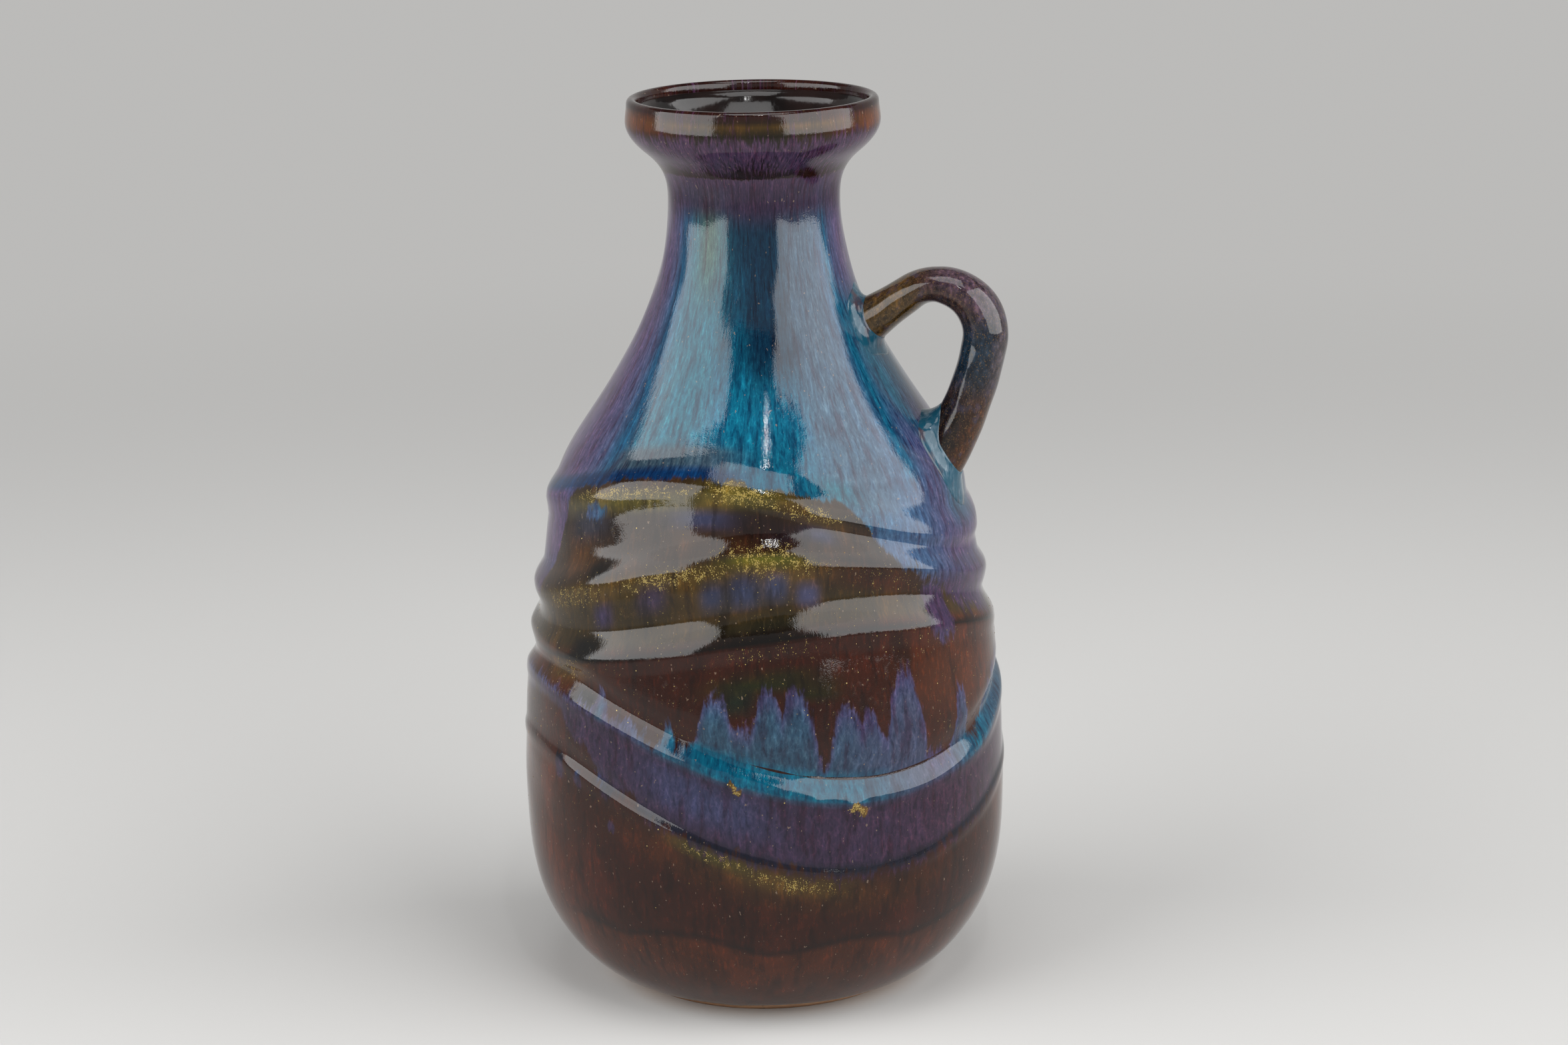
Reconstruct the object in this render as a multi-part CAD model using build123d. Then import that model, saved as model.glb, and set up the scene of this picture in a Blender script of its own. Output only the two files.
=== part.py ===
from build123d import *
import os
from collections import namedtuple
from math import cos, pi, radians, sin, sqrt, tan

# Glazed stoneware vase in the shape of a small jug: a slip-cast body with a thin collar, a strap
# handle cast by itself and luted on with slip, and coats of glaze fused over both.
#
# Sizes are in millimetres and angles in degrees. Z is the axis of the body, Z = 0 is the surface
# that the foot stands on, and the handle stands out towards +X. A slope is the change of radius
# for each millimetre of height, so a slope of 0 is upright.

# --- Outside of the glazed body, from the foot up ---------------------------------------------
foot_radius = 34.3
belly_height = 46.0
belly_radius = 57.0
belly_squareness = 2.6
waist_rise = 74.0
waist_radius = 49.0
waist_slope = -0.22
shoulder_rise = 18.0
shoulder_radius = 38.8
shoulder_slope = -0.72
neck_rise = 48.0
neck_radius = 19.9
collar_rise = 11.6
collar_radius = 24.8
collar_slope = 1.25
rim_rise = 6.9
rim_radius = 29.4
lip_rise = 4.25
lip_radius = 29.0

# --- Clay wall, floor, foot and mouth -----------------------------------------------------------
wall = 4.6
floor_thickness = 6.5
floor_radius = 31.0
foot_ring_width = 5.5
foot_recess = 1.5
lip_thickness = 1.7
cup_rise = 13.5
cup_radius = 20.5
cup_slope = 1.0

# --- Glaze --------------------------------------------------------------------------------------
glaze_thickness = 0.4
bare_foot_height = 3.0

# --- Wavy ledges pressed round the belly, numbered from the lowest up ---------------------------
# A ledge stands out at its crest. Above the crest the skin steps in over the height of the step,
# and comes out again over the height of the scoop. The line of the crest rises by its tilt
# towards one side, and by its saddle towards two opposite sides.
ledge_1_height = 53.0
ledge_1_tilt = 4.8
ledge_1_tilt_towards = 150.0
ledge_1_saddle = 8.5
ledge_1_saddle_towards = 38.0
ledge_1_step = 2.0
ledge_1_depth = 0.9
ledge_2_rise = 16.5
ledge_2_tilt = 4.4
ledge_2_tilt_towards = 145.0
ledge_2_saddle = 7.6
ledge_2_saddle_towards = 43.0
ledge_2_step = 4.4
ledge_2_depth = 1.5
ledge_3_rise = 20.0
ledge_3_tilt = 2.0
ledge_3_tilt_towards = -50.0
ledge_3_saddle = 4.8
ledge_3_saddle_towards = -57.0
ledge_3_step = 6.5
ledge_3_depth = 1.4
ledge_4_rise = 14.5
ledge_4_tilt = 3.0
ledge_4_tilt_towards = -70.0
ledge_4_saddle = 6.8
ledge_4_saddle_towards = -73.0
ledge_4_step = 5.5
ledge_4_depth = 1.4
ledge_5_rise = 15.7
ledge_5_tilt = 4.0
ledge_5_tilt_towards = -134.0
ledge_5_saddle = 5.7
ledge_5_saddle_towards = -87.0
ledge_5_step = 2.6
ledge_5_depth = 1.2
ledge_scoop = 6.0
ledge_foot = 1.3

# --- Handle -------------------------------------------------------------------------------------
strap_stand_off = 5.3
crown_radius = 11.2
crown_rise = 18.2
crown_leg_angle = 35.0
crown_end_angle = 12.0
lower_leg_radius = 110.0
lower_leg_turn = 20.0
strap_width = 12.4
strap_root_thickness = 16.0
strap_crown_thickness = 8.0
strap_bend_thickness = 10.4
strap_foot_thickness = 15.0
lute_thickness = 1.2
lute_spread = 1.6

# --- How finely the freely curved skins are drawn -----------------------------------------------
ring_points = 40
base_rings = 6
shoulder_rings = 10
lip_steps = 6
leg_steps = 4
crown_steps = 9
lower_leg_steps = 7

Knot = namedtuple("Knot", "height radius slope")

waist_height = belly_height + waist_rise
shoulder_height = waist_height + shoulder_rise
neck_height = shoulder_height + neck_rise
collar_height = neck_height + collar_rise
rim_height = collar_height + rim_rise
lip_height = rim_height + lip_rise
strap_reach = waist_radius + strap_stand_off
crown_height = shoulder_height + crown_rise
angles = [2 * pi * step / ring_points for step in range(ring_points)]

Ledge = namedtuple("Ledge", "height tilt tilt_towards saddle saddle_towards step depth")
ledge_2_height = ledge_1_height + ledge_2_rise
ledge_3_height = ledge_2_height + ledge_3_rise
ledge_4_height = ledge_3_height + ledge_4_rise
ledge_5_height = ledge_4_height + ledge_5_rise
ledges = [
    Ledge(
        height=ledge_1_height,
        tilt=ledge_1_tilt,
        tilt_towards=ledge_1_tilt_towards,
        saddle=ledge_1_saddle,
        saddle_towards=ledge_1_saddle_towards,
        step=ledge_1_step,
        depth=ledge_1_depth,
    ),
    Ledge(
        height=ledge_2_height,
        tilt=ledge_2_tilt,
        tilt_towards=ledge_2_tilt_towards,
        saddle=ledge_2_saddle,
        saddle_towards=ledge_2_saddle_towards,
        step=ledge_2_step,
        depth=ledge_2_depth,
    ),
    Ledge(
        height=ledge_3_height,
        tilt=ledge_3_tilt,
        tilt_towards=ledge_3_tilt_towards,
        saddle=ledge_3_saddle,
        saddle_towards=ledge_3_saddle_towards,
        step=ledge_3_step,
        depth=ledge_3_depth,
    ),
    Ledge(
        height=ledge_4_height,
        tilt=ledge_4_tilt,
        tilt_towards=ledge_4_tilt_towards,
        saddle=ledge_4_saddle,
        saddle_towards=ledge_4_saddle_towards,
        step=ledge_4_step,
        depth=ledge_4_depth,
    ),
    Ledge(
        height=ledge_5_height,
        tilt=ledge_5_tilt,
        tilt_towards=ledge_5_tilt_towards,
        saddle=ledge_5_saddle,
        saddle_towards=ledge_5_saddle_towards,
        step=ledge_5_step,
        depth=ledge_5_depth,
    ),
]


# --- Outlines -----------------------------------------------------------------------------------
def outside_knots(inset):
    """Knots of the outline above the belly, set in from the glazed face by a normal distance."""
    faces = [
        Knot(belly_height, belly_radius, 0.0),
        Knot(waist_height, waist_radius, waist_slope),
        Knot(shoulder_height, shoulder_radius, shoulder_slope),
        Knot(neck_height, neck_radius, 0.0),
        Knot(collar_height, collar_radius, collar_slope),
        Knot(rim_height, rim_radius, 0.0),
        Knot(lip_height, lip_radius, 0.0),
    ]
    return [inset_knot(knot, inset) for knot in faces]


def inset_knot(knot, inset):
    """The knot moved towards the inside of the wall, square to its slope."""
    length = sqrt(1 + knot.slope**2)
    height = knot.height + inset * knot.slope / length
    radius = knot.radius - inset / length
    return Knot(height, radius, knot.slope)


def inside_knots(coat):
    """Knots of the hollow above the belly, with a coat of this thickness on the clay."""
    wall_knots = outside_knots(glaze_thickness + wall + coat)
    body_knots = wall_knots[:4]
    cup_knot = Knot(neck_height + cup_rise, cup_radius - coat, cup_slope)
    lip_inside = lip_radius - glaze_thickness - lip_thickness - coat
    lip_knot = Knot(lip_height, lip_inside, 0.0)
    return body_knots + [cup_knot, lip_knot]


def curve_radius(height, knots):
    """Radius at a height on the smooth curve that has each knot's radius and slope."""
    for low, high in zip(knots, knots[1:]):
        if height <= high.height:
            break
    span = high.height - low.height
    t = (height - low.height) / span
    low_share = 1 - 3 * t**2 + 2 * t**3
    low_pull = (t - 2 * t**2 + t**3) * span * low.slope
    high_pull = (t**3 - t**2) * span * high.slope
    return low_share * low.radius + (1 - low_share) * high.radius + low_pull + high_pull


def base_radius(height, widest, foot, foot_height):
    """Radius below the belly: a squared-off ellipse that meets the foot at the foot's radius."""
    foot_share = 1 - (foot / widest) ** belly_squareness
    drop = (belly_height - foot_height) / foot_share ** (1 / belly_squareness)
    fall = (belly_height - height) / drop
    return widest * (1 - fall**belly_squareness) ** (1 / belly_squareness)


def outside_radius(height, inset):
    """Radius of the outside, without its ledges."""
    if height < belly_height:
        return base_radius(height, belly_radius - inset, foot_radius - inset, 0.0)
    return curve_radius(height, outside_knots(inset))


def inside_radius(height, coat):
    """Radius of the hollow in the clay, less a coat of glaze."""
    if height < belly_height:
        widest = belly_radius - glaze_thickness - wall - coat
        return base_radius(height, widest, floor_radius - coat, floor_thickness + coat)
    return curve_radius(height, inside_knots(coat))


# --- Ledges -------------------------------------------------------------------------------------
def ledge_lines():
    """Height of each ledge's crest at every angle round the body."""
    lines = []
    for ledge in ledges:
        line = []
        for angle in angles:
            tilt = ledge.tilt * cos(angle - radians(ledge.tilt_towards))
            saddle = ledge.saddle * cos(2 * (angle - radians(ledge.saddle_towards)))
            line.append(ledge.height + tilt + saddle)
        lines.append(line)
    return lines


def pressed_in(ledge, rise):
    """How far a ledge sets the skin in at a height above its crest."""
    if rise <= 0 or rise >= ledge.step + ledge_scoop:
        return 0.0
    share = rise / ledge.step
    if rise > ledge.step:
        share = 1 - (rise - ledge.step) / ledge_scoop
    return ledge.depth * share**2 * (3 - 2 * share)


# --- Rings of the skin --------------------------------------------------------------------------
def level(height):
    """A ring that lies flat."""
    return [height] * ring_points


def raised(ring, rise):
    """The same ring, higher by rise."""
    return [height + rise for height in ring]


def even_shares(count):
    """Shares of a stretch, evenly spaced."""
    return [step / (count + 1) for step in range(1, count + 1)]


def opening_shares(count):
    """Shares of a stretch that lie closer together at its start."""
    return [1 - cos(share * pi / 2) for share in even_shares(count)]


def between(low_ring, high_ring, shares):
    """Rings between two others, at shares of the way from the one to the other."""
    rings = []
    for share in shares:
        rings.append([low + (high - low) * share for low, high in zip(low_ring, high_ring)])
    return rings


def outside_rings(start):
    """Rings from a start height up to the lip, which follow the line of each ledge."""
    rings = [level(start)]
    shares = even_shares(base_rings)
    for ledge, line in zip(ledges, ledge_lines()):
        under = raised(line, -ledge_foot)
        rings += between(rings[-1], under, shares)
        rings.append(under)
        for rise in (0.0, ledge.step / 2, ledge.step, ledge.step + ledge_foot):
            rings.append(raised(line, rise))
        shares = even_shares(2)
    rings += between(rings[-1], level(neck_height), opening_shares(shoulder_rings))
    stations = [neck_height, collar_height, rim_height, lip_height]
    for low, high in zip(stations, stations[1:]):
        rings.append(level(low))
        rings += between(level(low), level(high), even_shares(2))
    rings.append(level(lip_height))
    return rings


def ring_wire(heights, radii):
    """Closed smooth curve through one point at each angle."""
    points = [(r * cos(a), r * sin(a), z) for r, a, z in zip(radii, angles, heights)]
    parameters = [step / ring_points for step in range(ring_points + 1)]
    return Wire([Edge.make_spline(points, periodic=True, parameters=parameters)])


def outside_wires(start, inset):
    """The outside of the body as curves, from a start height up to the lip."""
    lines = ledge_lines()
    wires = []
    for ring in outside_rings(start):
        radii = []
        for step, height in enumerate(ring):
            radius = outside_radius(height, inset)
            for ledge, line in zip(ledges, lines):
                radius -= pressed_in(ledge, height - line[step])
            radii.append(radius)
        wires.append(ring_wire(ring, radii))
    return wires


def lip_wires(coat):
    """The round of the lip, from its outer to its inner side."""
    middle = lip_radius - glaze_thickness - lip_thickness / 2
    reach = lip_thickness / 2 + coat
    wires = []
    for step in range(1, lip_steps):
        turn = pi * step / lip_steps
        height = lip_height + reach * sin(turn)
        radius = middle + reach * cos(turn)
        wires.append(ring_wire(level(height), [radius] * ring_points))
    return wires


def inside_wires(coat):
    """The hollow of the body as curves, from the lip down to the floor."""
    cup_height = neck_height + cup_rise
    stations = [
        (lip_height, cup_height, 3),
        (cup_height, neck_height, 3),
        (neck_height, shoulder_height, 5),
        (shoulder_height, waist_height, 2),
        (waist_height, belly_height, 3),
        (belly_height, floor_thickness + coat, 8),
    ]
    rings = []
    for high, low, count in stations:
        rings.append(level(high))
        rings += between(level(high), level(low), even_shares(count))
    rings.append(level(floor_thickness + coat))
    return [ring_wire(ring, [inside_radius(ring[0], coat)] * ring_points) for ring in rings]


# --- Body and its glaze -------------------------------------------------------------------------
def body_shell(start, inset, coat):
    """Open vessel as one skin: up the outside, over the lip and down the inside to the floor."""
    wires = outside_wires(start, inset) + lip_wires(coat) + inside_wires(coat)
    return Solid.make_loft(wires)


def clay_body():
    """Cast clay shell with a shallow recess inside its foot ring."""
    shell = body_shell(0.0, glaze_thickness, 0.0)
    recess_radius = foot_radius - foot_ring_width
    recess = Cone(recess_radius, recess_radius - foot_recess, 2 * foot_recess)
    return shell - recess


def coats(clay):
    """Glaze over the clay above its bare foot, as an outer coat and a liner that meet on the lip."""
    skin = body_shell(bare_foot_height, 0.0, glaze_thickness) - clay
    middle = lip_radius - glaze_thickness - lip_thickness / 2
    band = Pos(0, 0, lip_height) * Cylinder(middle, 2 * lip_thickness)
    parting = band.faces().filter_by(GeomType.CYLINDER)[0]
    liner, outer = skin.solids()[0].split(parting, keep=Keep.ALL).solids().sort_by(
        lambda coat: coat.bounding_box().max.X
    )
    return outer, liner


# --- Handle, the slip that holds it, and its glaze -----------------------------------------------
def strap_stations():
    """Centre line of the strap as (x, z, heading, thickness), from the neck round to the belly."""
    crown_x = strap_reach - crown_radius
    first = radians(90 + crown_leg_angle)
    last = -radians(crown_end_angle)
    leg_x = crown_x + crown_radius * cos(first)
    leg_z = crown_height + crown_radius * sin(first)
    root_x = neck_radius - wall
    root_z = leg_z - (leg_x - root_x) * tan(radians(crown_leg_angle))
    stations = []
    leg = (leg_x - root_x) / cos(radians(crown_leg_angle))
    flare_length = leg + crown_radius * radians(crown_leg_angle)
    root_flare = strap_root_thickness - strap_crown_thickness
    for step in range(leg_steps):
        share = step / leg_steps
        x = root_x + (leg_x - root_x) * share
        z = root_z + (leg_z - root_z) * share
        thickness = strap_crown_thickness + root_flare * (1 - share * leg / flare_length) ** 2
        stations.append((x, z, radians(crown_leg_angle), thickness))
    for step in range(crown_steps + 1):
        turn = first + (last - first) * step / crown_steps
        bend = min(max(cos(turn), 0.0), 1.0)
        before_top = crown_radius * max(turn - pi / 2, 0.0) / flare_length
        thickness = strap_crown_thickness + (strap_bend_thickness - strap_crown_thickness) * bend
        thickness += root_flare * before_top**2
        x = crown_x + crown_radius * cos(turn)
        z = crown_height + crown_radius * sin(turn)
        stations.append((x, z, turn - pi / 2, thickness))
    centre_x = crown_x + (crown_radius - lower_leg_radius) * cos(last)
    centre_z = crown_height + (crown_radius - lower_leg_radius) * sin(last)
    for step in range(1, lower_leg_steps + 1):
        share = step / lower_leg_steps
        turn = last - radians(lower_leg_turn) * share
        flare = (strap_foot_thickness - strap_bend_thickness) * share**2
        radius = lower_leg_radius - flare / 2
        x = centre_x + radius * cos(turn)
        z = centre_z + radius * sin(turn)
        stations.append((x, z, turn - pi / 2, strap_bend_thickness + flare))
    return stations


def strap(grow):
    """The strap's oval bar, thicker than its glazed outside by grow all round."""
    wires = []
    for x, z, heading, thickness in strap_stations():
        section = Plane(origin=(x, 0, z), x_dir=(0, 1, 0), z_dir=(cos(heading), 0, sin(heading)))
        oval = Edge.make_ellipse(strap_width / 2 + grow, thickness / 2 + grow, section)
        wires.append(Wire([oval]))
    return Solid.make_loft(wires)


def plug(inset):
    """The outside of the body as a filled solid, set in from the glazed face."""
    return Solid.make_loft(outside_wires(0.0, inset))


def handle_pieces():
    """Clay handle, its glaze, and the pads of slip between its two ends and the body."""
    seat = plug(glaze_thickness - lute_thickness)
    handle = strap(-glaze_thickness) - seat
    handle_glaze = strap(0.0) - seat - strap(-glaze_thickness)
    slip = (strap(lute_spread) & seat) - plug(glaze_thickness)
    lower_lute, upper_lute = slip.solids().sort_by(Axis.Z)
    return handle, handle_glaze, upper_lute, lower_lute


def build_vase():
    """Every piece of the vase by its node name."""
    body = clay_body()
    outer_glaze, liner_glaze = coats(body)
    handle, handle_glaze, upper_lute, lower_lute = handle_pieces()
    return {
        "stoneware_body": body,
        "outer_glaze": outer_glaze - strap(lute_spread),
        "liner_glaze": liner_glaze,
        "handle": handle,
        "handle_glaze": handle_glaze,
        "upper_handle_lute": upper_lute,
        "lower_handle_lute": lower_lute,
    }


os.makedirs("parts", exist_ok=True)
for node, solid in build_vase().items():
    export_step(solid, f"parts/{node}.step")
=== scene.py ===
from math import cos, pi, radians, sin
from typing import NamedTuple
import bpy
import numpy as np
from mathutils import Matrix


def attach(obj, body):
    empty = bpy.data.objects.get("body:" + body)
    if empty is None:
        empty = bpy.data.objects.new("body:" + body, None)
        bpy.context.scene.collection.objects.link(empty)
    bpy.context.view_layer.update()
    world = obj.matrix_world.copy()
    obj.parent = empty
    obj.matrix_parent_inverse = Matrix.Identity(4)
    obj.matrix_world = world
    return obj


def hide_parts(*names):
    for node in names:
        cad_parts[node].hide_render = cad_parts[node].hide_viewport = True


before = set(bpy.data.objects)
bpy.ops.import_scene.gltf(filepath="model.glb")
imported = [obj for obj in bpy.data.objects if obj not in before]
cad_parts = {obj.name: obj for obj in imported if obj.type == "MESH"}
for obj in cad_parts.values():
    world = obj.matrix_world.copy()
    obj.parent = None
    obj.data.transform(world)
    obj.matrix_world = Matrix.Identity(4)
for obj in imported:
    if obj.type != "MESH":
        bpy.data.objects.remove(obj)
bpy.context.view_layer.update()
vase = bpy.context.scene.collection

# --- Clay body ----------------------------------------------------------------------------------
# Slip-cast stoneware with a thin wall, a swollen belly and a flared collar. Five wavy ledges are
# pressed round it. It is fired to a warm buff, and only its foot ring is left without glaze.

# Lengths are in millimetres up to the studio. A finish alone has its noise and relief in metres.
MM = 0.001
# From the show face to the handle, in degrees. The handle is on the vase's X axis.
HANDLE_TURN = 75.0
BELLY_HEIGHT, BELLY_RADIUS, FOOT_RADIUS, SQUARENESS = 46.0, 57.0, 34.3, 2.6
NECK_HEIGHT, COLLAR_HEIGHT, RIM_HEIGHT = 186.0, 197.6, 204.5
LIP_HEIGHT, LIP_RADIUS = 208.75, 29.0
FLOOR_HEIGHT, FLOOR_RADIUS = 6.5, 31.0
FOOT_RING, FOOT_RECESS, EDGE_IN, EDGE_UP = 5.5, 1.5, 0.8, 0.3
WALL, LIP_CLAY, GLAZE = 4.6, 1.7, 0.4
# Height, radius and slope at the knots of the glazed outside, and of the hollow in the clay.
OUTLINE = [
    (BELLY_HEIGHT, BELLY_RADIUS, 0.0),
    (120.0, 49.0, -0.22),
    (138.0, 38.8, -0.72),
    (NECK_HEIGHT, 19.9, 0.0),
    (COLLAR_HEIGHT, 24.8, 1.25),
    (RIM_HEIGHT, 29.4, 0.0),
    (LIP_HEIGHT, LIP_RADIUS, 0.0),
]
HOLLOW = [
    (BELLY_HEIGHT, BELLY_RADIUS - WALL - GLAZE, 0.0),
    (118.9, 44.1, -0.22),
    (135.1, 34.7, -0.72),
    (NECK_HEIGHT, 14.9, 0.0),
    (199.5, 20.5, 1.0),
    (LIP_HEIGHT, LIP_RADIUS - GLAZE - LIP_CLAY, 0.0),
]


class Ledge(NamedTuple):
    """A wavy ledge round the body. Its line tilts towards one turn, and rises and falls like a
    saddle, highest at another. Both turns are in degrees from the handle."""

    height: float
    tilt: float
    tilt_to: float
    saddle: float
    saddle_to: float
    step: float
    depth: float
    scoop: float
    brow: float
    brow_height: float


# From the lowest up.
LEDGES = [
    Ledge(53.0, 4.8, 150.0, 8.5, 38.0, 2.0, 0.9, 5.0, 0.3, 3.0),
    Ledge(69.5, 4.4, 145.0, 7.6, 43.0, 4.4, 1.5, 6.0, 0.4, 3.6),
    Ledge(89.5, 2.0, -50.0, 4.8, -57.0, 6.5, 1.5, 7.0, 0.4, 3.6),
    Ledge(104.0, 3.0, -70.0, 6.8, -73.0, 6.0, 1.3, 20.0, 0.5, 4.5),
    Ledge(119.7, 4.0, -134.0, 5.7, -87.0, 6.0, 0.9, 30.0, 0.9, 4.8),
]
# Rows of the wall: how far below a crest they close up, and how many times as close they lie over
# its step and up to each height above the ledges.
NEAR_CREST, STEP_ROWS = 1.2, 1.4
UPPER_ROWS = [(NECK_HEIGHT, 0.7), (COLLAR_HEIGHT, 1.0), (LIP_HEIGHT, 1.1)]


def smooth(value, low, high):
    """Share from 0 to 1 of the way from low to high, eased at both ends."""
    share = np.clip((value - low) / (high - low), 0.0, 1.0)
    return share * share * (3 - 2 * share)


def chain(height, knots):
    """Radius at each height on the smooth curve through knots of height, radius and slope."""
    radius = np.full_like(height, knots[0][1])
    for (z0, r0, s0), (z1, r1, s1) in zip(knots, knots[1:]):
        span = z1 - z0
        t = np.clip((height - z0) / span, 0.0, 1.0)
        rise = t * t * (3 - 2 * t)
        pull = (t - 2 * t**2 + t**3) * span * s0 + (t**3 - t**2) * span * s1
        radius = np.where(height >= z0, r0 + (r1 - r0) * rise + pull, radius)
    return radius


def bowl(height, widest, foot, foot_height):
    """Radius below the belly: a squared-off ellipse that meets the foot at the foot's radius."""
    foot_share = (1 - (foot / widest) ** SQUARENESS) ** (1 / SQUARENESS)
    fall = np.clip((BELLY_HEIGHT - height) / (BELLY_HEIGHT - foot_height), 0.0, 1.0) * foot_share
    return widest * (1 - fall**SQUARENESS) ** (1 / SQUARENESS)


def outside_radius(height):
    """Radius of the glazed outside, without its ledges."""
    low = bowl(height, BELLY_RADIUS, FOOT_RADIUS, 0.0)
    return np.where(height < BELLY_HEIGHT, low, chain(height, OUTLINE))


def ledge_line(ledge, turn):
    """Height of a ledge's crest at a turn round the body, in radians."""
    lean = ledge.tilt * np.cos(turn - radians(ledge.tilt_to))
    return ledge.height + lean + ledge.saddle * np.cos(2 * (turn - radians(ledge.saddle_to)))


def pressed_in(height, turn):
    """How far the ledges set the skin in. A brow stands out below each crest, a step goes in above
    it, and a scoop comes back out."""
    depth = np.zeros_like(height)
    for ledge in LEDGES:
        rise = height - ledge_line(ledge, turn)
        step = smooth(rise, 0.0, ledge.step)
        depth += ledge.depth * step * (1 - smooth(rise, ledge.step, ledge.step + ledge.scoop))
        brow = smooth(rise, -ledge.brow_height, -0.3 * ledge.brow_height)
        depth -= ledge.brow * brow * (1 - step)
    return depth


def wall_rows(turns, hem, per_mm):
    """Rows of heights from the hem up to the lip. They follow the ledges, closest at the crests."""
    start = np.full_like(turns, hem)
    rows = [start]

    def climb(goal, count):
        base = rows[-1]
        for step in range(1, count + 1):
            rows.append(base + (goal - base) * step / count)

    for ledge in LEDGES:
        crest = ledge_line(ledge, turns)
        gap = float(np.mean(crest - rows[-1])) - NEAR_CREST
        climb(crest - NEAR_CREST, max(3, round(gap * per_mm)))
        climb(crest, 2)
        climb(crest + ledge.step, round(ledge.step * per_mm * STEP_ROWS) + 1)
    for goal, share in UPPER_ROWS:
        gap = goal - float(np.mean(rows[-1]))
        climb(np.full_like(turns, goal), round(gap * per_mm * share))
    return np.array(rows)


def turned(heights, radii):
    """Rings of points round the axis, from rows of heights and of radii."""
    return np.stack([radii * np.cos(turns), radii * np.sin(turns), heights], axis=-1)


def tube(name, rings, ends):
    """Mesh through rings of points in millimetres. Its ends are "joined", "flat" or "pointed"."""
    rows, columns = rings.shape[:2]
    here = np.arange(columns)
    beside = (here + 1) % columns
    low = np.arange(rows if ends == "joined" else rows - 1)[:, None] * columns
    high = (low + columns) % (rows * columns)
    quads = np.stack([low + here, low + beside, high + beside, high + here], axis=-1)
    faces = quads.reshape(-1, 4).tolist()
    points = rings.reshape(-1, 3)
    top = (rows - 1) * columns
    if ends == "flat":
        faces += [here[::-1].tolist(), (here + top).tolist()]
    if ends == "pointed":
        first_pole, last_pole = len(points), len(points) + 1
        poles = [(0.0, 0.0, ring[:, 2].mean()) for ring in (rings[0], rings[-1])]
        points = np.vstack([points, poles])
        faces += [(first_pole, j, i) for i, j in zip(here.tolist(), beside.tolist())]
        faces += [(last_pole, top + i, top + j) for i, j in zip(here.tolist(), beside.tolist())]
    mesh = bpy.data.meshes.new(name)
    mesh.from_pydata((points * MM).tolist(), [], faces)
    mesh.shade_smooth()
    mesh.update()
    return mesh


def stand(name, mesh, material, nodes):
    """The mesh as a piece of the vase, with its finish, in place of CAD nodes."""
    piece = bpy.data.objects.new(name, mesh)
    vase.objects.link(piece)
    mesh.materials.clear()
    mesh.materials.append(material)
    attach(piece, "root")
    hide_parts(*nodes)


class Signal:
    """One output of a node. Arithmetic on it adds the Math nodes that work it out."""

    def __init__(self, socket):
        self.socket = socket

    def node(self, kind, settings, inputs, output=0):
        """Another node in the same tree, as the signal of one of its outputs."""
        tree = self.socket.id_data
        made = tree.nodes.new(kind)
        for name, value in settings.items():
            setattr(made, name, value)
        for name, value in inputs.items():
            if isinstance(value, Signal):
                tree.links.new(value.socket, made.inputs[name])
            else:
                made.inputs[name].default_value = value
        return Signal(made.outputs[output])

    def math(self, operation, first, second):
        return self.node("ShaderNodeMath", {"operation": operation}, {0: first, 1: second})

    def __add__(self, other):
        return self.math("ADD", self, other)

    def __sub__(self, other):
        return self.math("SUBTRACT", self, other)

    def __rsub__(self, other):
        return self.math("SUBTRACT", other, self)

    def __mul__(self, other):
        return self.math("MULTIPLY", self, other)

    def eased(self, low, high):
        """0 below low and 1 above high, eased between them."""
        settings = {"interpolation_type": "SMOOTHSTEP"}
        inputs = {"Value": self, "From Min": low, "From Max": high}
        return self.node("ShaderNodeMapRange", settings, inputs)

    def mixed(self, first, second):
        """Colour between first and second by this signal."""
        inputs = {0: self, 6: first, 7: second}
        return self.node("ShaderNodeMix", {"data_type": "RGBA"}, inputs, 2)

    def scaled(self, factors):
        """This colour with its red, green and blue each multiplied."""
        return self.node("ShaderNodeVectorMath", {"operation": "MULTIPLY"}, {0: self, 1: factors})

    def noise(self, stretch, detail=2.0, roughness=0.5):
        """Noise round 0.5 on these coordinates, with cells of 1 / stretch metres each way."""
        inputs = {"Vector": self.scaled(stretch), "Scale": 1.0}
        inputs |= {"Detail": detail, "Roughness": roughness}
        return self.node("ShaderNodeTexNoise", {}, inputs)


def finish(name, roughness, ior):
    """A new material: it, its shader node and a signal of where each point is on the vase."""
    material = bpy.data.materials.new(name)
    material.use_nodes = True
    shader = material.node_tree.nodes["Principled BSDF"]
    shader.inputs["Roughness"].default_value = roughness
    shader.inputs["IOR"].default_value = ior
    where = material.node_tree.nodes.new("ShaderNodeTexCoord")
    return material, shader, Signal(where.outputs["Object"])


def feed(shader, name, signal):
    signal.socket.id_data.links.new(signal.socket, shader.inputs[name])


def bumped(shader, height, distance):
    """Relief on the finish, whose full height is the distance in metres."""
    inputs = {"Height": height, "Distance": distance}
    feed(shader, "Normal", height.node("ShaderNodeBump", {}, inputs))


def fired_clay(name):
    """Bare stoneware: warm buff, speckled with iron and a little rough."""
    material, shader, at = finish(name, roughness=0.75, ior=1.5)
    cloud = at.noise((60, 60, 60), 4.0)
    grain = at.noise((1500, 1500, 1500), 2.0)
    speck = at.noise((900, 900, 900), 1.0).eased(0.68, 0.74)
    buff = cloud.eased(0.3, 0.7).mixed((0.25, 0.12, 0.055, 1), (0.36, 0.20, 0.10, 1))
    feed(shader, "Base Color", (speck * 0.8).mixed(buff, (0.05, 0.02, 0.012, 1)))
    feed(shader, "Roughness", grain * 0.3 + 0.6)
    bumped(shader, grain, 0.00012)
    return material


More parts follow.
